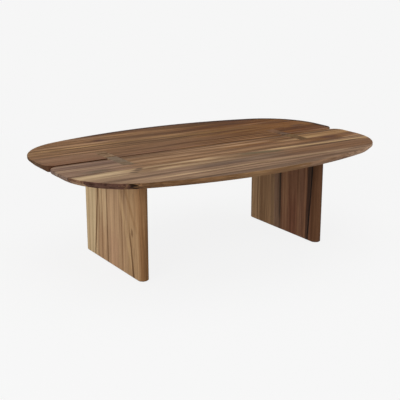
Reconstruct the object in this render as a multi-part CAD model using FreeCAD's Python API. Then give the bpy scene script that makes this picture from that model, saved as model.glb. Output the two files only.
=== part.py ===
"""Walnut coffee table: a barrel-shaped top in two halves, carried by two slab legs.

Each leg ends in a through tenon that comes up flush with the top, between the two halves.
X runs along the table, Y runs across it (far half at +Y), Z is up, and the floor is at Z = 0.
"""

import FreeCAD, Part
import math
import os

from FreeCAD import Vector

# Overall sizes, in millimetres
TOP_LENGTH = 1200.0
TOP_WIDTH = 805.0
TABLE_HEIGHT = 370.0
TOP_THICKNESS = 20.0

# Plan of the top: bowed sides, all but straight ends, and a round corner between them
# The shares are of the top's width
SIDE_BOW_SHARE = 0.159
CORNER_RADIUS_SHARE = 0.295
END_BOW = 5.0

# Edge of the top: a thin upright land with a bevel under it
EDGE_LAND = 8.0
BEVEL_INSET = 13.0
EDGE_CHAMFER = 1.5

# Gap between the halves: open slots outside the legs, a fine line between them
END_SLOT_WIDTH = 14.0
CENTRE_GAP_WIDTH = 4.0
SLOT_MOUTH_RADIUS = 38.0

# Staves outside the inner boards, as shares of that width, from the middle outwards
NEAR_STAVE_SHARES = (0.18, 0.20, 0.28, 0.34)
FAR_STAVE_SHARES = (0.17, 0.25, 0.27, 0.31)

# Legs
LEG_SPACING = 722.0
LEG_WIDTH = 402.0
LEG_THICKNESS = 38.0
LEG_FOOT_CHAMFER = 2.0
TENON_WIDTH = 210.0
TENON_CLEARANCE = 0.2

# Staves of each leg, as shares of its width, from the far edge to the near edge
LEFT_LEG_STAVE_SHARES = (0.22, 0.23, 0.20, 0.15, 0.20)
RIGHT_LEG_STAVE_SHARES = (0.18, 0.22, 0.10, 0.27, 0.23)

# Loose tongue that keeps the inner boards level across the centre gap
TONGUE_THICKNESS = 6.0
TONGUE_GROOVE_DEPTH = 12.0
TONGUE_CLEARANCE = 0.2

# Dowels that pin each leg's shoulders to the halves
DOWEL_DIAMETER = 10.0
DOWEL_DEPTH_IN_TOP = 12.0
DOWEL_DEPTH_IN_LEG = 24.0
DOWEL_SPACING = 40.0
DOWEL_CHAMFER = 1.0
DOWEL_CLEARANCE = 0.1
DOWEL_END_CLEARANCE = 0.5

# Nail-on glides under the legs
GLIDE_DIAMETER = 24.0
GLIDE_HEIGHT = 3.0
GLIDE_CHAMFER = 1.0
GLIDE_SPACING = 300.0
NAIL_SHANK_DIAMETER = 2.6
NAIL_LENGTH = 16.0
NAIL_POINT_LENGTH = 3.0
NAIL_HEAD_DIAMETER = 7.0
NAIL_HEAD_THICKNESS = 1.0
NAIL_HEAD_RECESS = 1.0
NAIL_CLEARANCE = 0.1

# How far a cutting block runs past the solid that it cuts
OVERRUN = 5.0

# Sizes and levels that several pieces share
SIDE_BOW = TOP_WIDTH * SIDE_BOW_SHARE
CORNER_RADIUS = TOP_WIDTH * CORNER_RADIUS_SHARE
UNDERSIDE = TABLE_HEIGHT - TOP_THICKNESS
EDGE_BOTTOM = TABLE_HEIGHT - EDGE_LAND
LEG_BOTTOM = GLIDE_HEIGHT
INNER_BOARD_EDGE = TENON_WIDTH / 2 + TENON_CLEARANCE
SIDES = {"left": -1, "right": 1}
HALVES = {"near": -1, "far": 1}
UP = Vector(0, 0, 1)


def block(low, high):
    """A box between two opposite corners."""
    size = [h - l for l, h in zip(low, high)]
    return Part.makeBox(*size, Vector(*low))


def cylinder(diameter, bottom, top, x, y):
    """An upright cylinder from one level to another."""
    return Part.makeCylinder(diameter / 2, top - bottom, Vector(x, y, bottom), UP)


def bow_radius(half_chord, bow):
    """Radius of the arc that stands out by its bow over a chord."""
    return (half_chord ** 2 + bow ** 2) / (2 * bow)


def running_bounds(start, end, shares):
    """Places that divide start to end by the shares, both ends included."""
    total = sum(shares)
    bounds = [start]
    for share in shares:
        bounds.append(bounds[-1] + (end - start) * share / total)
    return bounds


def save(name, *solids):
    """Writes one named piece, or one group of like pieces."""
    shape = solids[0] if len(solids) == 1 else Part.makeCompound(solids)
    shape.exportStep(os.path.join("parts", name + ".step"))


# Plan of the top


def arc_edge(centre, radius, start, end, level):
    """An arc at one level, counted from +X by its start and end angles."""
    angles = (start, (start + end) / 2, end)
    points = [
        Vector(centre[0] + radius * math.cos(t), centre[1] + radius * math.sin(t), level)
        for t in angles
    ]
    return Part.Arc(*points).toShape()


def plan_centres():
    """Centres and radii of the side, end and corner arcs of the first quadrant."""
    half_length, half_width = TOP_LENGTH / 2, TOP_WIDTH / 2
    side_radius = bow_radius(half_length, SIDE_BOW)
    end_radius = bow_radius(half_width, END_BOW)
    side_centre = (0, half_width - side_radius)
    end_centre = (half_length - end_radius, 0)
    # The corner arc touches both others from inside, so its centre lies on two circles about theirs
    to_side, to_end = side_radius - CORNER_RADIUS, end_radius - CORNER_RADIUS
    dx, dy = end_centre[0] - side_centre[0], end_centre[1] - side_centre[1]
    apart = math.hypot(dx, dy)
    along = (to_side ** 2 - to_end ** 2 + apart ** 2) / (2 * apart)
    across = math.sqrt(to_side ** 2 - along ** 2)
    corner_centre = (
        side_centre[0] + (along * dx + across * dy) / apart,
        side_centre[1] + (along * dy - across * dx) / apart,
    )
    return (side_centre, side_radius), (end_centre, end_radius), corner_centre


def plan_angles():
    """Angles at which the end arc meets the corner arc, and the corner arc meets the side arc."""
    (side_centre, _), (end_centre, _), corner_centre = plan_centres()
    at_end = math.atan2(corner_centre[1] - end_centre[1], corner_centre[0] - end_centre[0])
    at_side = math.atan2(corner_centre[1] - side_centre[1], corner_centre[0] - side_centre[0])
    return at_end, at_side


def far_outline(first_arcs):
    """Arcs round the far side: the given arcs at the right end, the corners, the side, the left end."""
    (side_centre, side_radius), _, corner_centre = plan_centres()
    at_end, at_side = plan_angles()
    right = first_arcs + [(corner_centre, CORNER_RADIUS, at_end, at_side)]
    left = [
        ((-x, y), radius, math.pi - end, math.pi - start)
        for (x, y), radius, start, end in reversed(right)
    ]
    arcs = right + [(side_centre, side_radius, at_side, math.pi - at_side)] + left
    return [arc_edge(*arc, UNDERSIDE) for arc in arcs]


def whole_outline():
    """Closed outline of the whole top, at the level of its underside."""
    _, (end_centre, end_radius), _ = plan_centres()
    at_end, _ = plan_angles()
    far = Part.Wire(far_outline([(end_centre, end_radius, 0, at_end)]))
    near = far.mirror(Vector(0, 0, 0), Vector(0, 1, 0))
    return Part.Wire(Part.__sortEdges__(far.Edges + near.Edges))


def half_outline():
    """Closed outline of the far half, with rounded corners where the end slots open."""
    _, (end_centre, end_radius), _ = plan_centres()
    at_end, _ = plan_angles()
    inner_y = END_SLOT_WIDTH / 2
    mouth_y = inner_y + SLOT_MOUTH_RADIUS
    mouth_x = end_centre[0] + math.sqrt((end_radius - SLOT_MOUTH_RADIUS) ** 2 - mouth_y ** 2)
    at_mouth = math.atan2(mouth_y, mouth_x - end_centre[0])
    edges = far_outline([
        ((mouth_x, mouth_y), SLOT_MOUTH_RADIUS, -math.pi / 2, at_mouth),
        (end_centre, end_radius, at_mouth, at_end),
    ])
    inner_ends = [Vector(x, inner_y, UNDERSIDE) for x in (-mouth_x, mouth_x)]
    return Part.Wire(edges + [Part.makeLine(*inner_ends)])


# The two halves of the top


def mortise(side):
    """Space that the leg's tenon takes between the halves."""
    centre = side * LEG_SPACING / 2
    half_thickness = LEG_THICKNESS / 2 + TENON_CLEARANCE
    return block(
        (centre - half_thickness, -INNER_BOARD_EDGE, UNDERSIDE - OVERRUN),
        (centre + half_thickness, INNER_BOARD_EDGE, TABLE_HEIGHT + OVERRUN),
    )


def tongue_groove():
    """Groove for the loose tongue, cut into both inner edges between the tenons."""
    middle = TABLE_HEIGHT - TOP_THICKNESS / 2
    half_height = TONGUE_THICKNESS / 2 + TONGUE_CLEARANCE
    reach = CENTRE_GAP_WIDTH / 2 + TONGUE_GROOVE_DEPTH
    half_run = LEG_SPACING / 2
    return block((-half_run, -reach, middle - half_height), (half_run, reach, middle + half_height))


def is_eased(edge):
    """True for a top edge of the half, apart from the edges of the mortises."""
    box = edge.BoundBox
    tolerance = TENON_CLEARANCE / 2
    at_top = abs(box.ZMin - TABLE_HEIGHT) < tolerance and abs(box.ZMax - TABLE_HEIGHT) < tolerance
    half_thickness = LEG_THICKNESS / 2 + TENON_CLEARANCE + tolerance
    from_leg = max(abs(abs(x) - LEG_SPACING / 2) for x in (box.XMin, box.Center.x, box.XMax))
    beside_tenon = from_leg < half_thickness and box.YMax < INNER_BOARD_EDGE + tolerance
    return at_top and not beside_tenon


def bevelled_plate():
    """The whole top's plan with the bevel that leaves a thin land at the edge."""
    plate = Part.Face(whole_outline()).extrude(UP * TOP_THICKNESS)
    lower_edges = [edge for edge in plate.Edges if edge.BoundBox.ZMax < EDGE_BOTTOM]
    return plate.makeChamfer(TOP_THICKNESS - EDGE_LAND, BEVEL_INSET, lower_edges)


def far_half():
    """The far half before it is told apart into boards."""
    half_run = LEG_SPACING / 2
    lip = block(
        (-half_run, CENTRE_GAP_WIDTH / 2, UNDERSIDE),
        (half_run, END_SLOT_WIDTH / 2 + OVERRUN, TABLE_HEIGHT),
    )
    half = Part.Face(half_outline()).extrude(UP * TOP_THICKNESS).fuse(lip).removeSplitter()
    half = half.cut([mortise(side) for side in SIDES.values()])
    half = half.makeChamfer(EDGE_CHAMFER, [edge for edge in half.Edges if is_eased(edge)])
    half = half.common(bevelled_plate())
    return half.cut([tongue_groove()] + [dowel_hole(x, y) for x, y in dowel_places()])


def strip(shape, low_y, high_y):
    """The part of a shape between two upright planes across Y."""
    box = shape.BoundBox
    return shape.common(
        block(
            (box.XMin - OVERRUN, low_y, box.ZMin - OVERRUN),
            (box.XMax + OVERRUN, high_y, box.ZMax + OVERRUN),
        )
    )


def save_half(name, half, sign, shares):
    """Saves the boards of one half: three inner boards, then whole staves outwards."""
    inner = strip(half, *sorted((0, sign * INNER_BOARD_EDGE)))
    boards = sorted(inner.Solids, key=lambda solid: solid.CenterOfMass.x)
    for place, board in zip(("left_end", "centre", "right_end"), boards):
        save(f"{name}_{place}_board", board)
    bounds = running_bounds(INNER_BOARD_EDGE, TOP_WIDTH / 2, shares)
    for number, (inside, outside) in enumerate(zip(bounds, bounds[1:]), 1):
        save(f"{name}_stave_{number}", strip(half, *sorted((sign * inside, sign * outside))).Solids[0])


def save_tongue():
    """Saves the loose tongue between the two centre boards."""
    middle = TABLE_HEIGHT - TOP_THICKNESS / 2
    half_width = CENTRE_GAP_WIDTH / 2 + TONGUE_GROOVE_DEPTH - TONGUE_CLEARANCE
    half_run = LEG_SPACING / 2 - LEG_THICKNESS / 2 - TENON_CLEARANCE - TONGUE_CLEARANCE
    half_height = TONGUE_THICKNESS / 2
    tongue = block(
        (-half_run, -half_width, middle - half_height),
        (half_run, half_width, middle + half_height),
    )
    save("centre_tongue", tongue)


# Legs


def leg_plan():
    """Plan of a leg at its foot: a slab with fully rounded edges."""
    radius = LEG_THICKNESS / 2
    straight = LEG_WIDTH / 2 - radius
    far_end = arc_edge((0, straight), radius, 0, math.pi, LEG_BOTTOM)
    near_end = arc_edge((0, -straight), radius, math.pi, 2 * math.pi, LEG_BOTTOM)
    corners = [(sx * radius, sy * straight) for sx, sy in ((1, 1), (-1, 1), (-1, -1), (1, -1))]
    right_top, left_top, left_low, right_low = [Vector(x, y, LEG_BOTTOM) for x, y in corners]
    left_side = Part.makeLine(left_top, left_low)
    right_side = Part.makeLine(right_low, right_top)
    return Part.Wire([far_end, left_side, near_end, right_side])


def leg(side):
    """One leg with its tenon and holes, before it is told apart into staves."""
    slab = Part.Face(leg_plan()).extrude(UP * (UNDERSIDE - LEG_BOTTOM))
    foot_edges = [edge for edge in slab.Edges if edge.BoundBox.ZMax < LEG_BOTTOM + LEG_FOOT_CHAMFER]
    slab = slab.makeChamfer(LEG_FOOT_CHAMFER, foot_edges)
    slab.translate(Vector(side * LEG_SPACING / 2, 0, 0))
    centre = side * LEG_SPACING / 2
    tenon = block(
        (centre - LEG_THICKNESS / 2, -TENON_WIDTH / 2, UNDERSIDE),
        (centre + LEG_THICKNESS / 2, TENON_WIDTH / 2, TABLE_HEIGHT),
    )
    whole = slab.fuse(tenon).removeSplitter()
    return whole.cut(
        [dowel_hole(x, y) for x, y in dowel_places()] + [nail_hole(x, y) for x, y in glide_places(side)]
    )


def save_leg(name, side, shares):
    """Saves a leg's staves, counted from its far edge."""
    whole = leg(side)
    bounds = running_bounds(LEG_WIDTH / 2, -LEG_WIDTH / 2, shares)
    for number, (far, near) in enumerate(zip(bounds, bounds[1:]), 1):
        save(f"{name}_leg_stave_{number}", strip(whole, near, far).Solids[0])


# Dowels in the shoulders


def dowel_places():
    """Centres of all dowels, two in each shoulder of each leg."""
    shoulder = (TENON_WIDTH / 2 + LEG_WIDTH / 2) / 2
    offsets = (shoulder - DOWEL_SPACING / 2, shoulder + DOWEL_SPACING / 2)
    return [
        (side * LEG_SPACING / 2, sign * offset)
        for side in SIDES.values()
        for sign in HALVES.values()
        for offset in offsets
    ]


def dowel_hole(x, y):
    """Hole for one dowel, in the leg and in the top together."""
    bottom = UNDERSIDE - DOWEL_DEPTH_IN_LEG - DOWEL_END_CLEARANCE
    top = UNDERSIDE + DOWEL_DEPTH_IN_TOP + DOWEL_END_CLEARANCE
    return cylinder(DOWEL_DIAMETER + 2 * DOWEL_CLEARANCE, bottom, top, x, y)


def dowel(x, y):
    """One dowel with chamfered ends."""
    pin = cylinder(DOWEL_DIAMETER, UNDERSIDE - DOWEL_DEPTH_IN_LEG, UNDERSIDE + DOWEL_DEPTH_IN_TOP, x, y)
    rims = [edge for edge in pin.Edges if len(edge.Vertexes) == 1]
    return pin.makeChamfer(DOWEL_CHAMFER, rims)


# Glides under the legs


def glide_places(side):
    """Centres of the two glides under one leg."""
    return [(side * LEG_SPACING / 2, sign * GLIDE_SPACING / 2) for sign in HALVES.values()]


def nail_hole(x, y):
    """Pilot hole for a glide's nail."""
    top = NAIL_HEAD_RECESS + NAIL_LENGTH + NAIL_CLEARANCE
    return cylinder(NAIL_SHANK_DIAMETER + 2 * NAIL_CLEARANCE, -OVERRUN, top, x, y)


def glide(x, y):
    """One nylon glide with a countersink for its nail."""
    disc = cylinder(GLIDE_DIAMETER, 0, GLIDE_HEIGHT, x, y)
    rim = [edge for edge in disc.Edges if edge.BoundBox.ZMax < GLIDE_HEIGHT / 2]
    disc = disc.makeChamfer(GLIDE_CHAMFER, rim)
    head_space = NAIL_HEAD_DIAMETER + 2 * NAIL_CLEARANCE
    recess = cylinder(head_space, -OVERRUN, NAIL_HEAD_RECESS + NAIL_HEAD_THICKNESS, x, y)
    return disc.cut([recess, nail_hole(x, y)])


def nail(x, y):
    """The nail of one glide, with a flat head and a point."""
    head_top = NAIL_HEAD_RECESS + NAIL_HEAD_THICKNESS
    shank_top = NAIL_HEAD_RECESS + NAIL_LENGTH - NAIL_POINT_LENGTH
    head = cylinder(NAIL_HEAD_DIAMETER, NAIL_HEAD_RECESS, head_top, x, y)
    shank = cylinder(NAIL_SHANK_DIAMETER, NAIL_HEAD_RECESS, shank_top, x, y)
    point = Part.makeCone(NAIL_SHANK_DIAMETER / 2, 0, NAIL_POINT_LENGTH, Vector(x, y, shank_top), UP)
    return head.fuse([shank, point]).removeSplitter()


def main():
    """Builds every piece and writes it."""
    os.makedirs("parts", exist_ok=True)
    far = far_half()
    near = far.mirror(Vector(0, 0, 0), Vector(0, 1, 0))
    save_half("far", far, HALVES["far"], FAR_STAVE_SHARES)
    save_half("near", near, HALVES["near"], NEAR_STAVE_SHARES)
    save_tongue()
    leg_shares = {"left": LEFT_LEG_STAVE_SHARES, "right": RIGHT_LEG_STAVE_SHARES}
    for name, side in SIDES.items():
        save_leg(name, side, leg_shares[name])
        own_dowels = [dowel(x, y) for x, y in dowel_places() if x * side > 0]
        save(f"{name}_leg_dowels", *own_dowels)
        save(f"{name}_leg_glides", *[glide(x, y) for x, y in glide_places(side)])
        save(f"{name}_glide_nails", *[nail(x, y) for x, y in glide_places(side)])


main()
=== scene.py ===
"""Dresses the walnut coffee table: a cut of solid walnut for every board, glides, studio and camera."""

import logging
import math
from dataclasses import dataclass
from enum import Enum
from functools import partial
from typing import Any, TypeAlias

import bpy
from mathutils import Color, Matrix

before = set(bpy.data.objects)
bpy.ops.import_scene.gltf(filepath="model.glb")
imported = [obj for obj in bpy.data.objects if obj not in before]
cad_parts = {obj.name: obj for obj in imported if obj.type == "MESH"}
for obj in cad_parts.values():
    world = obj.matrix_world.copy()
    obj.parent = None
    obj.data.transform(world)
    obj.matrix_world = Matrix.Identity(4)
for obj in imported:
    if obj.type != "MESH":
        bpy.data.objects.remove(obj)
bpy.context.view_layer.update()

log = logging.getLogger("coffee_table")

Colour: TypeAlias = tuple[float, float, float]
Vector: TypeAlias = tuple[float, float, float]
Socket: TypeAlias = bpy.types.NodeSocket
Number: TypeAlias = "Value | float"

SCREEN_WHITE = 255
NOISE_MEAN = 0.5
HALF_WAY = 0.5


def linear(colour: Colour) -> Colour:
    """A screen colour from 0 to 255 as linear light."""
    return tuple(Color([part / SCREEN_WHITE for part in colour]).from_srgb_to_scene_linear())


def scaled(parts: Vector, factor: float) -> Vector:
    """Three numbers times a factor."""
    return tuple(part * factor for part in parts)


class Value:
    """A number in a finish's node tree; arithmetic on it adds Math nodes."""

    def __init__(self, tree: "FinishTree", socket: Socket) -> None:
        """Keeps the tree and the output socket that carries the number."""
        self.tree = tree
        self.socket = socket

    def _math(self, operation: str, first: Number, second: Number = 0.0) -> "Value":
        """Adds one Math node.

        Args:
            operation: Name of the Math node's operation.
            first: Left operand.
            second: Right operand, where the operation has one.

        Returns:
            The node's result.
        """
        made = self.tree.node("ShaderNodeMath", {"operation": operation}, {0: first, 1: second})
        return Value(self.tree, made.outputs[0])

    def __add__(self, other: Number) -> "Value":
        """Sum."""
        return self._math("ADD", self, other)

    __radd__ = __add__

    def __sub__(self, other: Number) -> "Value":
        """Difference."""
        return self._math("SUBTRACT", self, other)

    def __rsub__(self, other: Number) -> "Value":
        """Difference, from a plain number."""
        return self._math("SUBTRACT", other, self)

    def __mul__(self, other: Number) -> "Value":
        """Product."""
        return self._math("MULTIPLY", self, other)

    __rmul__ = __mul__

    def __truediv__(self, other: Number) -> "Value":
        """Quotient."""
        return self._math("DIVIDE", self, other)

    def __pow__(self, other: Number) -> "Value":
        """Power."""
        return self._math("POWER", self, other)

    def __rpow__(self, other: Number) -> "Value":
        """Power of a plain number."""
        return self._math("POWER", other, self)

    def __abs__(self) -> "Value":
        """Size without sign."""
        return self._math("ABSOLUTE", self)

    def fraction(self) -> "Value":
        """Part after the point."""
        return self._math("FRACT", self)

    def whole(self) -> "Value":
        """Part before the point."""
        return self._math("FLOOR", self)

    def least(self, other: Number) -> "Value":
        """Smaller of two."""
        return self._math("MINIMUM", self, other)

    def greatest(self, other: Number) -> "Value":
        """Larger of two."""
        return self._math("MAXIMUM", self, other)

    def step(self, low: float, high: float, top: float = 1.0) -> "Value":
        """Rises smoothly from 0 at low to the top at high; with low above high, it falls instead.

        Args:
            low: Where the value is 0.
            high: Where the value reaches the top.
            top: Largest value.

        Returns:
            The eased value, held between 0 and the top.
        """
        made = self.tree.node(
            "ShaderNodeMapRange",
            {"interpolation_type": "SMOOTHSTEP"},
            {"Value": self, "From Min": low, "From Max": high, "To Max": top},
        )
        return Value(self.tree, made.outputs[0])


@dataclass(frozen=True)
class NoiseLayer:
    """One scale of smooth noise.

    Attributes:
        waves: Waves per metre on each axis.
        octaves: Number of finer octaves.
        roughness: Strength of each finer octave.
        weight: Weight in a sum of layers.
    """

    waves: Vector
    octaves: float
    roughness: float = 0.5
    weight: float = 1.0


class FinishTree:
    """The node tree of one material, or of the world."""

    def __init__(self, owner: bpy.types.Material | bpy.types.World) -> None:
        """Takes over an empty tree.

        Args:
            owner: Material or world whose nodes are made.
        """
        owner.use_nodes = True
        self.nodes = owner.node_tree.nodes
        self.links = owner.node_tree.links
        self.nodes.clear()

    def node(self, kind: str, settings: dict[str, Any] | None = None,
             sockets: dict[str | int, Any] | None = None) -> bpy.types.Node:
        """Adds one node.

        Args:
            kind: Blender's name for the node's type.
            settings: Attributes of the node, set before its sockets.
            sockets: Values or links for its inputs, by name or place.

        Returns:
            The new node.
        """
        made = self.nodes.new(kind)
        for name, setting in (settings or {}).items():
            setattr(made, name, setting)
        for key, value in (sockets or {}).items():
            link = value.socket if isinstance(value, Value) else value
            if isinstance(link, bpy.types.NodeSocket):
                self.links.new(link, made.inputs[key])
            else:
                made.inputs[key].default_value = link
        return made

    def value(self, socket: Socket) -> Value:
        """Wraps an output socket for arithmetic."""
        return Value(self, socket)

    def split(self, place: Socket) -> list[Value]:
        """Gives the three numbers of a place."""
        made = self.node("ShaderNodeSeparateXYZ", None, {0: place})
        return [self.value(socket) for socket in made.outputs]

    def join(self, *parts: Value) -> Socket:
        """Makes one place of three numbers."""
        return self.node("ShaderNodeCombineXYZ", None, dict(enumerate(parts))).outputs[0]

    def mix(self, factor: Number, first: Any, second: Any, blend: str = "MIX") -> Socket:
        """Mixes two colours.

        Args:
            factor: Share of the second colour, or strength of the blend.
            first: Colour or link.
            second: Colour or link.
            blend: Blend mode of the Mix node.

        Returns:
            The mixed colour's socket.
        """
        colours = [(*part, 1.0) if isinstance(part, tuple) else part for part in (first, second)]
        made = self.node(
            "ShaderNodeMix",
            {"data_type": "RGBA", "blend_type": blend},
            {0: factor, 6: colours[0], 7: colours[1]},
        )
        return made.outputs[2]

    def vector(self, operation: str, first: Any, second: Any) -> Socket:
        """Adds one Vector Math node and gives its result."""
        made = self.node("ShaderNodeVectorMath", {"operation": operation}, {0: first, 1: second})
        return made.outputs[0]

    def noise(self, place: Socket, layer: NoiseLayer) -> bpy.types.Node:
        """Adds smooth noise.

        Args:
            place: Coordinates in metres.
            layer: How fine and how rough the noise is.

        Returns:
            The Noise Texture node.
        """
        spot = self.vector("MULTIPLY", place, layer.waves)
        sockets = {"Vector": spot, "Scale": 1.0, "Detail": layer.octaves, "Roughness": layer.roughness}
        return self.node("ShaderNodeTexNoise", {"noise_dimensions": "3D"}, sockets)

    def swing(self, place: Socket, layer: NoiseLayer) -> Value:
        """Smooth noise that swings about zero."""
        return self.value(self.noise(place, layer).outputs[0]) - NOISE_MEAN

    def stirred(self, place: Socket, shift: Vector, layer: NoiseLayer, reach: Vector) -> Socket:
        """Moves places about by smooth noise.

        Args:
            place: Coordinates in metres.
            shift: Which stretch of the noise is taken, in metres.
            layer: How fine and how rough the noise is.
            reach: Full swing on each axis, in metres.

        Returns:
            The moved coordinates.
        """
        noise = self.noise(self.vector("ADD", place, shift), layer)
        swing = self.vector("SUBTRACT", noise.outputs[1], (NOISE_MEAN,) * 3)
        return self.vector("ADD", place, self.vector("MULTIPLY", swing, reach))

    def surface(self, sockets: dict[str, Any]) -> None:
        """Ends a material's tree in a surface with these inputs."""
        made = self.node("ShaderNodeBsdfPrincipled", None, sockets)
        self.node("ShaderNodeOutputMaterial", None, {0: made.outputs[0]})


class Grain(Enum):
    """How the fibres run: numbers of the table's axes along, across and into a board."""

    ALONG_TABLE = (0, 1, 2)
    UPRIGHT = (2, 1, 0)


class Face(Enum):
    """Where a mark shows: all over its board, or on the board's edges alone."""

    ALL = "all"
    EDGE = "edge"


# A streak is full up to the core's share of its half width, and gone at the rim's share
STREAK_CORE_SHARE = 0.40
STREAK_RIM_SHARE = 1.25


@dataclass(frozen=True)
class Streak:
    """A band of other wood that follows the grain, in metres of the table's frame.

    Attributes:
        across: Middle across the grain.
        half_width: Half of its width.
        start: Where it starts along the grain.
        end: Where it ends.
        colour: Its tone, as a screen colour.
        strength: Largest share of the colour.
        fade: Half of the length over which it comes and goes.
        slope: How far it drifts across for each metre along.
        bend: How far it curves across, times the square of the metres along.
        face: Where it shows.
    """

    across: float
    half_width: float
    start: float
    end: float
    colour: Colour
    strength: float = 0.8
    fade: float = 0.05
    slope: float = 0.0
    bend: float = 0.0
    face: Face = Face.ALL

    def middle(self, along: Value) -> Number:
        """Where the streak's middle lies across the grain.

        Args:
            along: Place along the grain.

        Returns:
            A plain number for a straight streak, or a value that follows the slope and the bend.
        """
        if self.bend:
            return along * (along * self.bend + self.slope) + self.across
        return along * self.slope + self.across if self.slope else self.across

    def mask(self, along: Value, across: Value, frayed: Value) -> Value:
        """Where the streak lies.

        Args:
            along: Place along the grain.
            across: Place across the grain.
            frayed: Place along the grain, with each fibre running on by its own length.

        Returns:
            The streak's share of the colour.
        """
        core = self.half_width * STREAK_CORE_SHARE
        rim = self.half_width * STREAK_RIM_SHARE
        inside = abs(across - self.middle(along)).step(rim, core, self.strength)
        begun = frayed.step(self.start - self.fade, self.start + self.fade)
        unended = frayed.step(self.end + self.fade, self.end - self.fade)
        return inside * begun * unended


# A knot's dark wood is full at the core and gone at the rim, as squared shares of its half sizes, and
# takes a small share of the fibres' fray
KNOT_CORE_SHARE = 0.1
KNOT_RIM_SHARE = 1.3
KNOT_FRAY_SHARE = 0.2

# Round a knot the fibres spread: the share at its middle, and what is left of that at its half sizes
SPREAD_SHARE = 0.6
SPREAD_LEFT_SHARE = 0.55


@dataclass(frozen=True)
class Knot:
    """A dark eye that the fibres flow round, in metres of the table's frame.

    Attributes:
        along: Middle along the grain.
        across: Middle across the grain.
        half_length: Half of its length.
        half_width: Half of its width.
        colour: Its tone, as a screen colour.
        strength: Largest share of the colour.
        face: Where it shows.
    """

    along: float
    across: float
    half_length: float
    half_width: float
    colour: Colour
    strength: float = 0.7
    face: Face = Face.ALL

    def squared(self, along: Value, across: Value) -> Value:
        """Squared distance from the knot's middle.

        Args:
            along: Place along the grain.
            across: Place across the grain.

        Returns:
            The distance in the knot's half sizes, squared.
        """
        ahead = (along - self.along) / self.half_length
        aside = (across - self.across) / self.half_width
        return ahead * ahead + aside * aside

    def pushed(self, along: Value, across: Value) -> Value:
        """Place across the grain with the fibres spread apart round the knot."""
        near = SPREAD_LEFT_SHARE ** self.squared(along, across)
        return across - (across - self.across) * near * SPREAD_SHARE

    def mask(self, along: Value, across: Value, frayed: Value) -> Value:
        """Where the knot's dark wood lies.

        Args:
            along: Place along the grain.
            across: Place across the grain.
            frayed: Place along the grain, with each fibre running on by its own length.

        Returns:
            The knot's share of the colour, a little frayed along the grain.
        """
        reached = along * (1 - KNOT_FRAY_SHARE) + frayed * KNOT_FRAY_SHARE
        return self.squared(reached, across).step(KNOT_RIM_SHARE, KNOT_CORE_SHARE, self.strength)


@dataclass(frozen=True)
class ShadedRim:
    """Painted shade along a round corner of the top and the end beside it, where the rounded edge turns
    from the light, in metres of the table's frame.

    Attributes:
        along: Corner's centre along the table.
        across: Corner's centre across the table.
        radius: Corner's radius.
        depth: How far in from the outline the painted shade reaches.
        colour: Its tone, as a screen colour.
        strength: Largest share of the colour.
        fade: Half of the width over which it comes in.
        face: Where it shows.
    """

    along: float
    across: float
    radius: float
    depth: float
    colour: Colour
    strength: float = 0.8
    fade: float = 0.006
    face: Face = Face.ALL

    def mask(self, along: Value, across: Value, frayed: Value) -> Value:
        """Where the painted shade of the rim lies.

        Args:
            along: Place along the grain.
            across: Place across the grain.
            frayed: Not used, because the rim follows the outline and not the fibres.

        Returns:
            The rim's share of the colour.
        """
        ahead = along - self.along
        aside = (across - self.across).greatest(0.0)
        out = (ahead * ahead + aside * aside) ** 0.5
        start = self.radius - self.depth
        beside = along.step(self.along - self.depth, self.along + self.depth, self.strength)
        return out.step(start - self.fade, start + self.fade) * beside


Mark: TypeAlias = Streak | Knot | ShadedRim

# Walnut's noise, from the bend of the trunk down to the pores
WANDER = NoiseLayer((1.8, 5.0, 5.0), 2.0)
RIPPLE = NoiseLayer((7.0, 16.0, 16.0), 2.0)
BANDS = (
    NoiseLayer((1.3, 14.0, 14.0), 2.0, weight=1.0),
    NoiseLayer((1.8, 33.0, 33.0), 2.0, weight=1.5),
    NoiseLayer((2.4, 70.0, 70.0), 3.0, 0.60, weight=2.5),
    NoiseLayer((5.0, 210.0, 210.0), 3.0, 0.60, weight=1.7),
)
FIBRES = NoiseLayer((14.0, 640.0, 640.0), 3.0, 0.65)
PORES = NoiseLayer((70.0, 1900.0, 1900.0), 1.0)
PORE_SWINGS = (0.10, 0.22)

# How far the noise moves the grain, and how each cut's seed shifts it, in metres
WANDER_REACH: Vector = (0.0, 0.018, 0.030)
RIPPLE_REACH: Vector = (0.0, 0.006, 0.006)
WANDER_SHIFT: Vector = (3.1, 1.7, 0.9)
FIGURE_SHIFT: Vector = (2.3, 0.61, 0.37)

# How far the fibres run on at a mark's ends and beside it, in metres
FRAY_LENGTH = 0.24
FEATHER_WIDTH = 0.008

# Growth rings: lean of the trunk, how late in the ring it darkens, and the faintest ring's darkness
TRUNK_LEAN = 0.02
RING_POWER = 2.2
FAINTEST_RING = 0.25

# Colour: darkest and lightest bands, and the plain wood's brightness less fibres and pores
DARKEST_BAND: Colour = (0.58, 0.53, 0.49)
LIGHTEST_BAND: Colour = (1.40, 1.41, 1.39)
PLAIN_SHADE = 1.08
FIBRE_SHADE = 0.40
PORE_SHADE = 0.18

# Gloss and relief of an oiled surface
PLAIN_ROUGHNESS = 0.62
FIBRE_ROUGHNESS = 0.16
PORE_ROUGHNESS = 0.10
CUT_ROUGHNESS = 0.10
SPECULAR_LEVEL = 0.03
FIBRE_HEIGHT = 0.60
PORE_DEPTH = 0.80
RING_HEIGHT = 0.15
BUMP_STRENGTH = 0.25
BUMP_DISTANCE = 0.0004

# A surface counts as cut end or as edge by how squarely it faces the fibres, or the board's face; chamfers
# count as edges, so they take the edges' painted shade
CUT_FACING = (0.45, 0.90)
EDGE_FACING = (0.98, 0.75)


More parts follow.
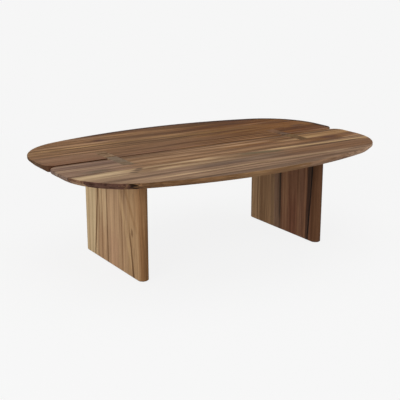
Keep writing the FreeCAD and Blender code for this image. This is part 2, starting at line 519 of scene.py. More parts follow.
@dataclass(frozen=True)
class Walnut:
    """One cut of walnut, solid all through, with bands, rings, fibres, pores and marks.

    Attributes:
        grain: How the fibres run.
        tone: The plain wood, as a screen colour.
        seed: Which stretch of the noise the cut takes.
        pith: Where the trunk's middle lies, across and into the board, in metres.
        ring: Width of a growth ring in metres.
        bands: Strength of the light and dark bands.
        figure: Darkness of late wood in the rings.
        taper: How far the pith drifts into the board for each metre along.
        marks: Other wood, each mark over the ones before it.
        end_grain: How a cut end changes the colour.
        edge: How an edge changes the colour, partly the oil's deeper tone and partly painted shade.
    """

    grain: Grain
    tone: Colour
    seed: float
    pith: tuple[float, float] = (0.16, -0.10)
    ring: float = 0.0075
    bands: float = 1.0
    figure: float = 0.22
    taper: float = 0.03
    marks: tuple[Mark, ...] = ()
    end_grain: Colour = (0.42, 0.43, 0.45)
    edge: Colour = (0.68, 0.64, 0.60)

    def place(self, tree: FinishTree) -> tuple[Socket, Value, Value]:
        """Coordinates along, across and into the wood.

        Args:
            tree: Tree that gets the nodes.

        Returns:
            The coordinates, how squarely the surface cuts the fibres, and how far it is an edge.
        """
        source = tree.node("ShaderNodeTexCoord")
        at = tree.split(source.outputs["Object"])
        facing = tree.split(source.outputs["Normal"])
        along, across, depth = self.grain.value
        cut = abs(facing[along]).step(*CUT_FACING)
        edge = abs(facing[depth]).step(*EDGE_FACING)
        return tree.join(at[along], at[across], at[depth]), cut, edge

    def wandering(self, tree: FinishTree, place: Socket) -> Socket:
        """Coordinates that wander as the fibres of a real trunk do, and bend round the knots.

        Args:
            tree: Tree that gets the nodes.
            place: Rippled coordinates.

        Returns:
            The wandering coordinates.
        """
        stirred = tree.stirred(place, scaled(WANDER_SHIFT, self.seed), WANDER, WANDER_REACH)
        along, across, depth = tree.split(stirred)
        for mark in self.marks:
            if isinstance(mark, Knot):
                across = mark.pushed(along, across)
        return tree.join(along, across, depth)

    def rings(self, tree: FinishTree, place: Socket) -> Value:
        """Growth rings about the pith.

        Args:
            tree: Tree that gets the nodes.
            place: Wandering coordinates in the wood.

        Returns:
            A value from 0 in early wood to 1 in late wood.
        """
        along, across, depth = tree.split(place)
        side = across - self.pith[0] + along * TRUNK_LEAN
        below = depth - self.pith[1] + along * self.taper
        turns = ((side * side + below * below) ** 0.5) / self.ring
        numbered = {"W": turns.whole() + self.seed}
        chance = tree.node("ShaderNodeTexWhiteNoise", {"noise_dimensions": "1D"}, numbered)
        darkness = FAINTEST_RING + (1 - FAINTEST_RING) * tree.value(chance.outputs[0])
        return (turns.fraction() ** RING_POWER) * darkness

    def marked(self, tree: FinishTree, place: Socket, fine: Value, edge: Value) -> Any:
        """The board's own tone with its marks.

        Args:
            tree: Tree that gets the nodes.
            place: Rippled coordinates in the wood.
            fine: Fine noise along the fibres, which feathers the marks.
            edge: How far the surface is an edge of the board.

        Returns:
            The colour, or its socket where the board has marks.
        """
        along, across, _ = tree.split(place)
        frayed = along + fine * FRAY_LENGTH
        across = across + fine * FEATHER_WIDTH
        colour: Any = linear(self.tone)
        for mark in self.marks:
            share = mark.mask(along, across, frayed)
            share = share * edge if mark.face is Face.EDGE else share
            colour = tree.mix(share, colour, linear(mark.colour))
        return colour

    def material(self, name: str) -> bpy.types.Material:
        """Makes the finish.

        Args:
            name: Name of the new material.

        Returns:
            The material.
        """
        made = bpy.data.materials.new(name)
        tree = FinishTree(made)
        straight, cut, edge = self.place(tree)
        rippled = tree.stirred(straight, scaled(WANDER_SHIFT, self.seed), RIPPLE, RIPPLE_REACH)
        place = self.wandering(tree, rippled)
        seeded = tree.vector("ADD", place, scaled(FIGURE_SHIFT, self.seed))
        swings = [tree.swing(seeded, layer) for layer in BANDS]
        fibre = tree.swing(seeded, FIBRES)
        pore = tree.swing(seeded, PORES).step(*PORE_SWINGS)
        late = self.rings(tree, place)

        band = sum(swing * layer.weight for swing, layer in zip(swings, BANDS))
        shades = tree.mix(band * self.bands + HALF_WAY, DARKEST_BAND, LIGHTEST_BAND)
        colour = tree.mix(1.0, self.marked(tree, rippled, swings[-1], edge), shades, "MULTIPLY")
        shade = PLAIN_SHADE - late * self.figure - fibre * FIBRE_SHADE - pore * PORE_SHADE
        grey = tree.node("ShaderNodeCombineColor", None, {0: shade, 1: shade, 2: shade})
        colour = tree.mix(1.0, colour, grey.outputs[0], "MULTIPLY")
        # Edges and chamfers of the top darkened: partly the oil's deeper tone, partly painted shade
        colour = tree.mix(edge * (1 - cut), colour, self.edge, "MULTIPLY")
        colour = tree.mix(cut, colour, self.end_grain, "MULTIPLY")

        rough = PLAIN_ROUGHNESS + fibre * FIBRE_ROUGHNESS + pore * PORE_ROUGHNESS + cut * CUT_ROUGHNESS
        height = fibre * FIBRE_HEIGHT - pore * PORE_DEPTH + late * RING_HEIGHT
        relief = {"Strength": BUMP_STRENGTH, "Distance": BUMP_DISTANCE, "Height": height}
        tree.surface({
            "Base Color": colour,
            "Roughness": rough,
            "Normal": tree.node("ShaderNodeBump", None, relief).outputs[0],
            "Specular IOR Level": SPECULAR_LEVEL,
        })
        return made


MOTTLE = NoiseLayer((900.0, 900.0, 900.0), 3.0)
MOTTLE_ROUGHNESS = 0.15


@dataclass(frozen=True)
class PlainFinish:
    """A fine-grained finish of one colour, for small hidden pieces."""

    colour: Colour
    roughness: float
    metallic: float
    speckle: float

    def material(self, name: str) -> bpy.types.Material:
        """Makes the finish, with a faint mottle in its colour and gloss.

        Args:
            name: Name of the new material.

        Returns:
            The material.
        """
        made = bpy.data.materials.new(name)
        tree = FinishTree(made)
        source = tree.node("ShaderNodeTexCoord")
        mottle = tree.swing(source.outputs["Object"], MOTTLE)
        base = linear(self.colour)
        dark = scaled(base, 1 - self.speckle)
        light = scaled(base, 1 + self.speckle)
        tree.surface({
            "Base Color": tree.mix(mottle + HALF_WAY, dark, light),
            "Roughness": self.roughness + mottle * MOTTLE_ROUGHNESS,
            "Metallic": self.metallic,
        })
        return made


def dress(node: str, material: bpy.types.Material) -> None:
    """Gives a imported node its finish.

    Args:
        node: Name of the node.
        material: Finish for all of its slots.
    """
    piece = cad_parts[node]
    if not piece.material_slots:
        piece.data.materials.append(material)
    for slot in piece.material_slots:
        slot.material = material
    log.info("%s: %s", node, material.name)


@dataclass
class TopHalf:
    """One half of the top: inner boards and staves, each from its own cut."""

    name: str
    cuts: dict[str, Walnut]

    def build(self) -> None:
        """Dresses every board of the half."""
        for board, cut in self.cuts.items():
            node = f"{self.name}_{board}"
            dress(node, cut.material(f"walnut_{node}"))


@dataclass
class Leg:
    """One slab leg: five staves, of which the middle three end in the tenon."""

    name: str
    cuts: tuple[Walnut, ...]

    def build(self) -> None:
        """Dresses the staves, counted from the far edge."""
        for number, cut in enumerate(self.cuts, 1):
            node = f"{self.name}_leg_stave_{number}"
            dress(node, cut.material(f"walnut_{node}"))


@dataclass
class HiddenPieces:
    """Tongue, dowels, glides and nails."""

    tongue: Walnut
    dowels: Walnut
    glides: PlainFinish
    nails: PlainFinish

    def build(self) -> None:
        """Dresses the pieces; both legs share the finishes."""
        dress("centre_tongue", self.tongue.material("walnut_tongue"))
        dowels = self.dowels.material("beech_dowels")
        glides = self.glides.material("nylon_glides")
        nails = self.nails.material("steel_nails")
        for side in ("left", "right"):
            dress(f"{side}_leg_dowels", dowels)
            dress(f"{side}_leg_glides", glides)
            dress(f"{side}_glide_nails", nails)


@dataclass(frozen=True)
class Lamp:
    """A square soft lamp that looks at the table: where it hangs, its sides in metres, its watts."""

    name: str
    place: Vector
    size: float
    power: float

    def build(self) -> None:
        """Hangs the lamp."""
        data = bpy.data.lights.new(self.name, "AREA")
        data.size = self.size
        data.energy = self.power
        lamp = bpy.data.objects.new(self.name, data)
        lamp.location = self.place
        lamp.rotation_euler = (-lamp.location).to_track_quat("-Z", "Y").to_euler()
        bpy.context.scene.collection.objects.link(lamp)


@dataclass
class Studio:
    """Pale floor, white surround and soft lamps.

    Attributes:
        background: Screen colour all round.
        floor_size: Side of the floor in metres.
        floor_grey: Share of light that the floor throws back.
        floor_shown: Brightness of the floor under the table.
        flat_share: Share of the floor's look there that takes no shadow.
        shadow_reach: Metres from the middle where the shadow starts to fade and where it is gone.
        sky: Strength of the surround's light.
        lamps: The lamps.
    """

    background: Colour = (246, 246, 246)
    floor_size: float = 60.0
    floor_grey: float = 0.65
    floor_shown: float = 0.99
    flat_share: float = 0.87
    shadow_reach: tuple[float, float] = (1.0, 2.4)
    sky: float = 0.42
    lamps: tuple[Lamp, ...] = (
        Lamp("top_lamp", (0.0, 0.0, 3.2), 3.0, 30.0),
        Lamp("key_lamp", (-4.0, -2.0, 1.1), 2.4, 95.0),
        Lamp("front_lamp", (2.6, -3.8, 1.2), 2.4, 35.0),
    )

    def seen(self, tree: FinishTree) -> Value:
        """Tells rays that show the background from rays that light the table.

        Args:
            tree: Tree that gets the nodes.

        Returns:
            1 for rays that show it, 0 for rays that light.
        """
        path = tree.node("ShaderNodeLightPath")
        camera, glossy, through = (
            tree.value(path.outputs[f"Is {kind} Ray"]) for kind in ("Camera", "Glossy", "Transmission")
        )
        return (camera + glossy + through).least(1.0)

    def floor_finish(self) -> bpy.types.Material:
        """Makes the floor's finish, which is evenly pale and keeps a faint shadow.

        Returns:
            The material.
        """
        made = bpy.data.materials.new("pale_floor")
        tree = FinishTree(made)
        paper = tree.node("ShaderNodeBsdfDiffuse", None, {"Color": (*(self.floor_grey,) * 3, 1.0)})
        source = tree.node("ShaderNodeTexCoord")
        length = tree.node("ShaderNodeVectorMath", {"operation": "LENGTH"}, {0: source.outputs["Object"]})
        away = tree.value(length.outputs["Value"]).step(*self.shadow_reach)
        shown = tree.mix(away, (self.floor_shown,) * 3, linear(self.background))
        flat = tree.node("ShaderNodeEmission", None, {"Color": shown, "Strength": 1.0})
        share = self.seen(tree) * (away * (1 - self.flat_share) + self.flat_share)
        both = tree.node("ShaderNodeMixShader", None, {0: share, 1: paper.outputs[0], 2: flat.outputs[0]})
        tree.node("ShaderNodeOutputMaterial", None, {0: both.outputs[0]})
        return made

    def build_floor(self) -> None:
        """Lays the floor under the table."""
        bpy.ops.object.select_all(action="DESELECT")
        bpy.ops.mesh.primitive_plane_add(size=self.floor_size, location=(0.0, 0.0, 0.0))
        floor = bpy.context.object
        floor.name = "studio_floor"
        floor.data.materials.append(self.floor_finish())

    def build_world(self) -> None:
        """Makes the surround: pale where it is seen, softer where it lights."""
        world = bpy.data.worlds.new("studio")
        bpy.context.scene.world = world
        tree = FinishTree(world)
        pale = (*linear(self.background), 1.0)
        light = tree.node("ShaderNodeBackground", None, {0: (1.0, 1.0, 1.0, 1.0), 1: self.sky})
        shown = tree.node("ShaderNodeBackground", None, {0: pale, 1: 1.0})
        both = tree.node(
            "ShaderNodeMixShader", None, {0: self.seen(tree), 1: light.outputs[0], 2: shown.outputs[0]}
        )
        tree.node("ShaderNodeOutputWorld", None, {0: both.outputs[0]})

    def build(self) -> None:
        """Makes floor, surround and lamps."""
        self.build_floor()
        self.build_world()
        for lamp in self.lamps:
            lamp.build()
        log.info("studio built")


@dataclass
class Viewpoint:
    """The camera at the table's left front: metres, degrees, and millimetres for lens and sensor."""

    place: Vector = (-1.5814, -2.4056, 0.9931)
    pitch: float = 15.938
    yaw: float = 32.918
    lens: float = 75.46
    sensor: float = 36.0

    def build(self) -> None:
        """Adds the camera and makes it the scene's own."""
        data = bpy.data.cameras.new("viewpoint")
        data.lens = self.lens
        data.sensor_width = self.sensor
        camera = bpy.data.objects.new("viewpoint", data)
        camera.location = self.place
        camera.rotation_euler = (math.pi / 2 - math.radians(self.pitch), 0.0, math.radians(-self.yaw))
        bpy.context.scene.collection.objects.link(camera)
        bpy.context.scene.camera = camera
        log.info("camera set")


# Tones of the hidden pieces, in screen colours
RED_BROWN: Colour = (106, 71, 51)
SAPWOOD: Colour = (182, 154, 116)

# How a board's ends or edges change its colour
NO_CHANGE: Colour = (1.0, 1.0, 1.0)
DARK_ENDS: Colour = (0.46, 0.42, 0.42)
RED_ENDS: Colour = (0.42, 0.34, 0.32)
PALE_ENDS: Colour = (0.68, 0.75, 0.88)
# The slot wall's factor is painted shade in the narrow slot
SHADED_SLOT_WALL: Colour = (0.32, 0.26, 0.24)

# Cuts for the top and for the legs; a leg's edges are as light as its faces
top_cut = partial(Walnut, Grain.ALONG_TABLE)
leg_cut = partial(Walnut, Grain.UPRIGHT, edge=NO_CHANGE)

# Marks that run on over several boards
# The far rim is painted shade of the far right rounded edge, not the wood's colour
FAR_SHADED_RIM = ShadedRim(along=0.362, across=0.111, radius=0.2375, depth=0.020, colour=(52, 33, 23), fade=0.010)
FAR_VEIN = Streak(0.1225, 0.006, -0.05, 0.42, (108, 80, 53), 0.9, 0.03, -0.125)
NEAR_GLEAM = Streak(-0.1615, 0.012, 0.05, 0.30, (194, 162, 122), 0.6, 0.05, 0.35)
NEAR_SHADE = Streak(-0.279, 0.012, 0.17, 0.36, (146, 112, 78), 0.6, 0.05, 0.59)

# Edge tones, partly the wood's own and partly painted light and shade, lie across the whole near edge
EDGE_BAND_ACROSS = -0.300
EDGE_BAND_HALF_WIDTH = 0.200


def edge_wood_and_shading(start: float, end: float, colour: Colour, strength: float, fade: float) -> Streak:
    """A tone on the near edge alone: partly other wood, partly painted light and shade.

    Args:
        start: Where it starts along the table.
        end: Where it ends.
        colour: Its tone, as a screen colour.
        strength: Largest share of the colour.
        fade: Half of the length over which it comes and goes.

    Returns:
        The streak.
    """
    across = (EDGE_BAND_ACROSS, EDGE_BAND_HALF_WIDTH)
    return Streak(*across, start, end, colour, strength, fade, face=Face.EDGE)


# Cuts, streaks and knots below give their values in the order of their fields, after a cut's grain
def far_half() -> TopHalf:
    """The far half: even brown at the left, redder and darker to the right.

    Returns:
        The half, ready to be built.
    """
    return TopHalf("far", {
        # Its edges along the slot take painted shade
        "left_end_board": top_cut((133, 101, 77), 1.0, (0.05, -0.2), bands=0.6, edge=SHADED_SLOT_WALL, marks=(
            Streak(0.020, 0.030, -0.64, -0.36, (124, 89, 66), 0.7),
        )),
        "centre_board": top_cut((123, 91, 65), 2.0, (0.20, 0.0), bands=1.3, marks=(
            Streak(0.050, 0.080, 0.02, 0.40, (115, 75, 36), 0.9, 0.16),
            Streak(0.022, 0.010, -0.36, -0.26, (140, 106, 82), 0.7),
            Streak(0.018, 0.022, -0.26, 0.02, (114, 80, 60), 0.6),
            Streak(0.066, 0.005, 0.02, 0.36, (64, 41, 26), 0.9, 0.08),
            Streak(0.057, 0.004, 0.00, 0.30, (142, 104, 66), 0.8, 0.08),
            Streak(0.044, 0.006, -0.04, 0.36, (68, 43, 27), 0.9, 0.08),
            Streak(0.033, 0.004, 0.04, 0.24, (142, 102, 66), 0.85, 0.06),
            Streak(0.026, 0.005, 0.02, 0.36, (74, 47, 30), 0.85, 0.06),
            Streak(0.088, 0.012, -0.02, 0.16, (134, 100, 72), 0.7),
            Streak(0.010, 0.009, -0.12, 0.31, (148, 109, 74), 0.9, 0.04),
            # Dark line along the centre gap: painted shade of the gap
            Streak(0.003, 0.005, -0.40, -0.12, (70, 44, 33), 0.7),
        )),
        "right_end_board": top_cut((109, 68, 32), 3.0, (0.06, 0.1), edge=NO_CHANGE, marks=(
            Streak(0.010, 0.012, 0.36, 0.64, (139, 103, 76), 0.8),
            Streak(0.036, 0.010, 0.44, 0.62, (84, 52, 36), 0.7),
            Streak(0.088, 0.010, 0.44, 0.50, (82, 50, 36), 0.7),
            Streak(0.055, 0.006, 0.44, 0.62, (84, 52, 37), 0.7),
            FAR_SHADED_RIM,
        )),
        "stave_1": top_cut((130, 97, 68), 4.0, (0.30, 0.05), bands=1.8, marks=(
            Streak(0.130, 0.040, 0.08, 0.64, (109, 69, 29), 0.9, 0.14),
            Streak(0.147, 0.005, -0.60, -0.20, (94, 66, 46), 0.8),
            Streak(0.133, 0.006, -0.50, -0.30, (152, 118, 88), 0.8),
            Streak(0.116, 0.010, -0.64, -0.38, (152, 120, 94), 0.8),
            Streak(0.117, 0.011, -0.22, 0.20, (100, 70, 48), 0.7, 0.08),
            Streak(0.140, 0.005, 0.02, 0.34, (140, 103, 60), 0.75, 0.08),
            Knot(0.51, 0.122, 0.040, 0.012, (74, 49, 38), 0.8),
            Knot(0.415, 0.114, 0.030, 0.008, (78, 51, 38), 0.7),
            FAR_SHADED_RIM,
        )),
        "stave_2": top_cut((132, 100, 70), 5.0, (0.05, 0.05), bands=1.7, marks=(
            Streak(0.195, 0.060, 0.10, 0.66, (107, 66, 27), 0.9, 0.16),
            Streak(0.188, 0.016, -0.02, 0.36, (124, 92, 52), 0.7, 0.10),
            Streak(0.217, 0.012, -0.60, 0.04, (180, 142, 99), 0.95, 0.10),
            Streak(0.219, 0.009, 0.04, 0.36, (144, 106, 68), 0.85, 0.06),
            Streak(0.206, 0.007, 0.42, 0.58, (82, 51, 30), 0.75, 0.05),
            Streak(0.190, 0.005, 0.24, 0.36, (88, 57, 34), 0.75, 0.05),
            Streak(0.198, 0.005, -0.40, -0.04, (106, 76, 52), 0.8, 0.10),
            Streak(0.172, 0.006, -0.56, 0.10, (104, 74, 50), 0.75, 0.10),
            FAR_SHADED_RIM,
        )),
        "stave_3": top_cut((132, 98, 68), 6.0, (0.40, 0.0), bands=1.7, marks=(
            Streak(0.270, 0.060, 0.06, 0.64, (112, 69, 27), 0.9, 0.14),
            Streak(0.252, 0.006, -0.52, -0.20, (158, 124, 93), 0.9),
            Streak(0.240, 0.007, -0.54, -0.08, (150, 116, 86), 0.7),
            Streak(0.236, 0.006, -0.06, 0.18, (146, 109, 75), 0.8, 0.08),
            Streak(0.237, 0.007, 0.30, 0.48, (150, 111, 79), 0.75, 0.05),
            Streak(0.246, 0.010, 0.18, 0.32, (86, 55, 31), 0.75, 0.06),
            Streak(0.283, 0.022, 0.14, 0.37, (85, 53, 31), 0.8, 0.08),
            Streak(0.296, 0.008, 0.20, 0.44, (128, 87, 50), 0.75, 0.06),
            Streak(0.264, 0.006, -0.12, 0.06, (104, 73, 50), 0.7),
            Streak(0.305, 0.005, -0.06, 0.12, (84, 56, 38), 0.75, 0.05),
            Knot(-0.275, 0.281, 0.034, 0.018, (88, 57, 46), 0.85),
            Knot(-0.322, 0.270, 0.014, 0.010, (96, 66, 50), 0.7),
            FAR_SHADED_RIM,
        )),
        "stave_4": top_cut((127, 92, 62), 7.0, (0.20, 0.1), bands=1.5, edge=NO_CHANGE, marks=(
            Streak(0.326, 0.018, -0.24, 0.08, (148, 112, 76), 0.8, 0.08),
            Streak(0.360, 0.070, 0.06, 0.32, (107, 73, 35), 0.8, 0.10),
            Streak(0.350, 0.070, 0.26, 0.60, (109, 64, 37), 0.9, 0.10),
            Streak(0.334, 0.014, -0.40, -0.24, (152, 120, 92), 0.8),
            Streak(0.334, 0.016, 0.31, 0.41, (72, 47, 33), 0.8),
            Streak(0.364, 0.014, -0.14, 0.32, (95, 63, 40), 0.7, 0.08),
            # Dark line along the curved far edge: painted shade of the edge turned from the light
            Streak(0.394, 0.022, -0.30, 0.60, (62, 39, 29), 0.9, 0.08, bend=-0.34),
            FAR_SHADED_RIM,
        )),
    })


def near_half() -> TopHalf:
    """The near half: greyer, with pale sapwood along its second stave.

    Returns:
        The half, ready to be built.
    """
    return TopHalf("near", {
        "left_end_board": top_cut((136, 109, 90), 11.0, (-0.20, 0.0), end_grain=PALE_ENDS, marks=(
            Streak(-0.024, 0.010, -0.66, -0.49, (162, 135, 114), 0.9),
            Streak(-0.042, 0.014, -0.62, -0.36, (110, 86, 75), 0.8),
            Streak(-0.084, 0.013, -0.64, -0.36, (172, 143, 118), 0.9),
            Streak(-0.066, 0.005, -0.62, -0.40, (112, 88, 76), 0.7),
        )),
        "centre_board": top_cut((142, 109, 80), 12.0, (-0.25, 0.0), marks=(
            Streak(-0.070, 0.050, 0.02, 0.40, (130, 91, 54), 0.85, 0.12),
            # Dark line beside the centre gap: painted shade of the gap
            Streak(-0.011, 0.012, -0.38, 0.38, (102, 75, 53), 0.9),
            Streak(-0.030, 0.016, -0.38, -0.20, (116, 89, 66), 0.85),
            Streak(-0.036, 0.009, 0.15, 0.38, (106, 76, 52), 0.85),
            Streak(-0.027, 0.005, -0.12, 0.14, (170, 135, 102), 0.8),
            Streak(-0.051, 0.010, -0.16, 0.24, (174, 139, 106), 0.85, 0.05, -0.03),
            Streak(-0.056, 0.004, -0.36, -0.18, (104, 75, 53), 0.8),
            Streak(-0.073, 0.007, -0.13, 0.03, (106, 78, 56), 0.85, 0.04),
            Streak(-0.084, 0.010, -0.38, -0.10, (178, 144, 111), 0.9),
            Streak(-0.063, 0.008, 0.24, 0.38, (94, 66, 45), 0.85, 0.03),
            Streak(-0.084, 0.010, 0.25, 0.38, (180, 147, 109), 0.9, 0.03),
            Streak(-0.090, 0.010, 0.12, 0.22, (112, 76, 58), 0.7),
            Streak(-0.103, 0.006, -0.36, 0.36, (104, 75, 54), 0.8),
        )),
        "right_end_board": top_cut((147, 112, 75), 13.0, (-0.02, 0.1), marks=(
            Streak(-0.104, 0.016, 0.36, 0.64, (96, 64, 42), 0.9, 0.03),
            Streak(-0.080, 0.014, 0.34, 0.46, (176, 142, 100), 0.8),
            Streak(-0.050, 0.005, 0.36, 0.60, (124, 92, 62), 0.7),
            # Dark line beside the right slot: painted shade of the slot
            Streak(-0.024, 0.015, 0.34, 0.66, (96, 68, 47), 0.9),
        )),
        "stave_1": top_cut((140, 107, 78), 14.0, (-0.30, 0.05), end_grain=PALE_ENDS, marks=(
            Streak(-0.130, 0.040, -0.64, -0.36, (146, 119, 101), 0.85),
            Streak(-0.135, 0.020, -0.52, -0.46, (112, 99, 82), 0.8, 0.03),
            Streak(-0.130, 0.040, 0.04, 0.64, (140, 102, 69), 0.9, 0.12),
            Streak(-0.130, 0.030, 0.34, 0.54, (96, 62, 30), 0.85, 0.06),
            Streak(-0.108, 0.006, -0.36, 0.36, (106, 78, 56), 0.8),
            Streak(-0.118, 0.004, -0.34, 0.30, (156, 121, 88), 0.6, 0.10),
            Streak(-0.131, 0.009, -0.42, 0.30, (160, 126, 94), 0.8, 0.10),
            Streak(-0.144, 0.004, -0.30, 0.34, (104, 74, 50), 0.8, 0.10),
            Streak(-0.158, 0.006, -0.64, -0.44, (72, 50, 38), 0.9, 0.03),
            Streak(-0.157, 0.004, -0.36, 0.06, (100, 73, 52), 0.7),
            Streak(-0.156, 0.006, 0.06, 0.56, (78, 53, 34), 0.85),
            Streak(-0.115, 0.012, 0.54, 0.66, (92, 64, 45), 0.8, 0.03),
            Streak(-0.152, 0.008, 0.56, 0.66, (176, 144, 112), 0.8, 0.03),
            Knot(0.46, -0.120, 0.045, 0.016, (76, 48, 35), 0.85),
            Knot(0.475, -0.150, 0.045, 0.018, (86, 58, 42), 0.7),
            # Dark spot at the left tenon's near end: painted shadow in the joint, not a knot
            Knot(-0.348, -0.108, 0.018, 0.005, (70, 56, 44), 0.9),
        )),
        "stave_2": top_cut((141, 111, 83), 15.0, (-0.05, 0.0), end_grain=RED_ENDS, marks=(
            Streak(-0.190, 0.050, -0.70, -0.40, (194, 168, 134), 0.95, 0.04),
            Streak(-0.162, 0.006, -0.66, -0.50, (132, 106, 88), 0.9, 0.03),
            Streak(-0.190, 0.100, -0.72, -0.50, (166, 138, 114), 0.95, 0.03, face=Face.EDGE),
            Streak(-0.177, 0.012, -0.54, -0.38, (212, 185, 149), 0.9, 0.03),
            Streak(-0.203, 0.010, -0.48, -0.40, (160, 133, 106), 0.8, 0.03),
            Streak(-0.208, 0.007, -0.57, -0.49, (194, 166, 132), 0.8, 0.03),
            Streak(-0.175, 0.015, 0.02, 0.17, (96, 84, 63), 0.9, 0.03, -0.16),
            Streak(-0.210, 0.014, 0.18, 0.64, (122, 90, 62), 0.8),
            Streak(-0.173, 0.013, -0.40, -0.08, (190, 159, 124), 0.95, 0.06),
            Streak(-0.185, 0.004, -0.34, 0.02, (114, 85, 60), 0.8),
            Streak(-0.192, 0.005, -0.34, 0.00, (172, 141, 107), 0.9, 0.05, -0.05),
            Streak(-0.202, 0.004, -0.36, 0.00, (112, 84, 60), 0.8, 0.05),
            Streak(-0.213, 0.012, -0.34, -0.05, (190, 160, 125), 0.95, 0.06),
            Streak(-0.165, 0.008, 0.15, 0.66, (180, 148, 108), 0.95, 0.05, -0.055),
            Streak(-0.206, 0.009, 0.28, 0.52, (78, 54, 38), 0.9),
            Streak(-0.163, 0.005, -0.04, 0.52, (86, 60, 41), 0.85, 0.05),
            Knot(-0.360, -0.172, 0.016, 0.009, (96, 75, 62), 0.85),
            Knot(-0.378, -0.188, 0.018, 0.010, (94, 74, 62), 0.85),
            Knot(-0.398, -0.206, 0.018, 0.010, (104, 84, 70), 0.8),
        )),
        "stave_3": top_cut((136, 109, 87), 16.0, (-0.45, 0.0), end_grain=DARK_ENDS, marks=(
            Streak(-0.255, 0.056, 0.14, 0.62, (118, 84, 57), 0.9, 0.10),
            Streak(-0.224, 0.026, -0.70, -0.40, (160, 133, 106), 0.9, 0.06),
            Streak(-0.221, 0.005, -0.36, -0.04, (178, 148, 114), 0.8, 0.06),
            Streak(-0.234, 0.014, 0.04, 0.20, (108, 84, 66), 0.75, 0.05),
            Streak(-0.262, 0.012, -0.20, 0.02, (106, 85, 73), 0.8),
            Streak(-0.268, 0.009, -0.48, -0.12, (100, 78, 63), 0.85, 0.06),
            Streak(-0.246, 0.005, -0.20, 0.16, (104, 88, 72), 0.8, 0.06),
            Streak(-0.290, 0.010, -0.46, -0.20, (172, 142, 114), 0.85, 0.06),
            Streak(-0.275, 0.010, 0.08, 0.36, (92, 68, 53), 0.85, 0.06),
            Streak(-0.297, 0.006, -0.10, 0.36, (154, 124, 98), 0.7, 0.08),
            # Near edge darker at the left end and paler at the right: partly wood, partly painted shade
            # and light
            edge_wood_and_shading(-0.72, -0.40, (104, 76, 66), 1.0, 0.04),
            edge_wood_and_shading(0.30, 0.72, (216, 184, 162), 0.9, 0.04),
        )),
        "stave_4": top_cut((141, 113, 89), 17.0, (-0.25, 0.1), end_grain=DARK_ENDS, marks=(
            Streak(-0.307, 0.011, -0.38, 0.38, (178, 148, 117), 0.95, 0.08),
            Streak(-0.320, 0.004, -0.40, 0.00, (96, 72, 55), 0.8, 0.08),
            Streak(-0.311, 0.008, 0.39, 0.52, (108, 82, 65), 0.75, 0.03),
            Streak(-0.342, 0.008, -0.39, -0.20, (168, 138, 111), 0.8),
            Streak(-0.345, 0.006, -0.14, 0.30, (116, 90, 72), 0.8, 0.08),
            Streak(-0.376, 0.017, -0.38, 0.25, (100, 78, 62), 0.95, 0.08),
            Streak(-0.346, 0.020, 0.14, 0.33, (118, 90, 70), 0.8, 0.06),
            # Near edge darker at the left end and paler at the right: partly wood, partly painted shade
            # and light
            edge_wood_and_shading(-0.70, -0.465, (108, 78, 68), 1.0, 0.012),
            edge_wood_and_shading(-0.465, 0.16, (140, 107, 76), 0.9, 0.012),
            edge_wood_and_shading(-0.12, -0.04, (166, 133, 98), 0.8, 0.03),
            edge_wood_and_shading(0.14, 0.35, (160, 129, 106), 0.9, 0.03),
            edge_wood_and_shading(0.35, 0.70, (206, 174, 150), 0.9, 0.03),
            Knot(-0.466, -0.331, 0.016, 0.020, (30, 20, 12), 0.95, face=Face.EDGE),
            Knot(-0.430, -0.350, 0.026, 0.016, (84, 64, 50), 0.6),
        )),
    })


def left_leg() -> Leg:
    """The left leg: light wood with a few slanting dark lines, palest at its far edge.

    Returns:
        The leg, ready to be built.
    """
    return Leg("left", (
        leg_cut((198, 174, 138), 21.0, (0.40, -0.3), bands=0.45, marks=(
            FAR_VEIN,
            Streak(0.165, 0.005, -0.05, 0.42, (180, 154, 118), 0.7),
        )),
        leg_cut((189, 161, 126), 22.0, (0.30, -0.3), bands=0.5, end_grain=(0.52, 0.48, 0.48), marks=(
            Streak(0.060, 0.045, -0.05, 0.14, (170, 134, 102), 0.8),
            Streak(0.045, 0.005, 0.08, 0.42, (194, 163, 128), 0.7),
            Streak(0.098, 0.003, 0.14, 0.42, (150, 120, 88), 0.7),
            Streak(0.083, 0.004, 0.10, 0.42, (146, 114, 82), 0.8),
            Streak(0.060, 0.004, 0.12, 0.42, (142, 110, 78), 0.8),
            FAR_VEIN,
            Streak(0.023, 0.006, -0.05, 0.42, (116, 86, 60), 0.85),
        )),
        leg_cut((181, 149, 116), 23.0, (0.20, -0.3), bands=0.4, end_grain=(0.46, 0.52, 0.62), marks=(
            Streak(-0.020, 0.040, -0.05, 0.12, (172, 136, 108), 0.7),
        )),
        leg_cut(
            (168, 136, 104), 24.0, (-0.10, -0.372), bands=0.45, figure=0.3, taper=0.08,
            end_grain=(0.53, 0.59, 0.67), marks=(
                Streak(-0.080, 0.004, -0.05, 0.42, (150, 118, 88), 0.7),
                Streak(-0.112, 0.005, 0.00, 0.42, (188, 156, 120), 0.6),
                NEAR_GLEAM,
                NEAR_SHADE,
            ),
        ),
        leg_cut((169, 137, 102), 25.0, (-0.16, -0.378), bands=0.45, figure=0.3, taper=0.08, marks=(
            NEAR_GLEAM,
            NEAR_SHADE,
            # Darker band on the near rounded edge: painted shade of the edge turned from the light
            Streak(-0.204, 0.016, -0.05, 0.42, (132, 95, 62), 0.9),
            Streak(-0.195, 0.030, 0.20, 0.42, (148, 113, 80), 0.7),
            Streak(-0.157, 0.006, -0.05, 0.18, (104, 75, 50), 0.9, 0.03, 0.15),
            Knot(0.155, -0.150, 0.016, 0.008, (112, 84, 60), 0.75),
        )),
    ))


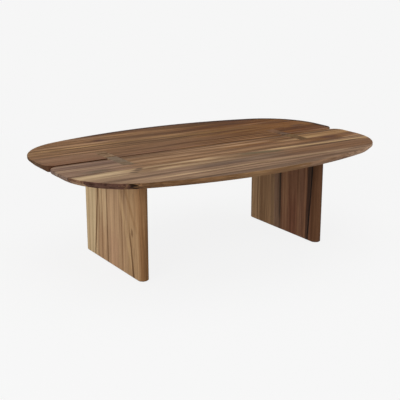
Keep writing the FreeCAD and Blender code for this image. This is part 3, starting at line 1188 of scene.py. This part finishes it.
def right_leg() -> Leg:
    """The right leg: brown wood with two near-black streaks, its tones darker than the left leg's partly
    as painted shade under the top.

    Returns:
        The leg, ready to be built.
    """
    return Leg("right", (
        leg_cut((190, 155, 119), 31.0, (0.40, -0.3), bands=0.6, marks=(
            Streak(0.146, 0.004, -0.05, 0.42, (154, 118, 88), 0.7),
            Streak(0.168, 0.004, -0.05, 0.42, (156, 120, 90), 0.7),
            Streak(0.132, 0.003, -0.05, 0.42, (154, 118, 88), 0.7),
        )),
        leg_cut((170, 135, 102), 32.0, (0.30, -0.3), bands=0.5, end_grain=(0.50, 0.43, 0.41), marks=(
            Streak(0.118, 0.004, -0.05, 0.42, (150, 115, 86), 0.7),
            Streak(0.050, 0.016, -0.05, 0.42, (150, 122, 94), 0.7),
            Streak(0.076, 0.010, 0.17, 0.25, (118, 90, 62), 0.85, 0.03, -0.3),
        )),
        leg_cut((140, 112, 92), 33.0, (0.20, -0.3), bands=0.6, end_grain=(0.84, 0.82, 0.80), marks=(
            Streak(0.004, 0.010, 0.04, 0.42, (68, 55, 47), 0.8),
            # Dark spot on the tenon's top at its corner: painted shadow, not a knot
            Knot(0.375, 0.032, 0.030, 0.014, (84, 66, 54), 0.8),
        )),
        leg_cut((130, 94, 72), 34.0, (0.10, -0.3), bands=0.6, end_grain=(0.63, 0.71, 0.57), marks=(
            Streak(-0.070, 0.030, -0.05, 0.16, (112, 73, 56), 0.75),
            Streak(-0.022, 0.020, 0.10, 0.42, (150, 112, 84), 0.7),
            Streak(-0.104, 0.006, -0.05, 0.42, (144, 108, 82), 0.6),
        )),
        leg_cut((122, 85, 64), 35.0, (0.00, -0.3), bands=0.6, marks=(
            Streak(-0.118, 0.020, -0.05, 0.42, (130, 95, 75), 0.9),
            Streak(-0.141, 0.004, -0.05, 0.42, (144, 108, 83), 0.7),
            Streak(-0.192, 0.018, -0.05, 0.42, (94, 65, 45), 0.85),
            Streak(-0.164, 0.016, 0.18, 0.44, (66, 52, 44), 0.9, 0.08),
            Streak(-0.156, 0.011, -0.05, 0.24, (72, 53, 44), 0.9, 0.06, -0.02),
            Streak(-0.160, 0.004, -0.05, 0.44, (28, 22, 19), 0.95, 0.03, -0.06),
        )),
    ))


def hidden_pieces() -> HiddenPieces:
    """The pieces that hold the table together and stand it on the floor.

    Returns:
        The pieces, ready to be built.
    """
    return HiddenPieces(
        tongue=top_cut(RED_BROWN, 41.0),
        dowels=leg_cut(SAPWOOD, 42.0, ring=0.003, figure=0.10),
        glides=PlainFinish((44, 36, 30), roughness=0.55, metallic=0.0, speckle=0.08),
        nails=PlainFinish((176, 177, 180), roughness=0.30, metallic=1.0, speckle=0.05),
    )


def main() -> None:
    """Builds the dressed table and its studio."""
    logging.basicConfig(level=logging.INFO, format="%(name)s: %(message)s")
    for part in (far_half(), near_half(), left_leg(), right_leg(), hidden_pieces(), Studio(), Viewpoint()):
        part.build()
    bpy.context.scene.view_settings.view_transform = "Standard"


if __name__ == "__main__":
    main()
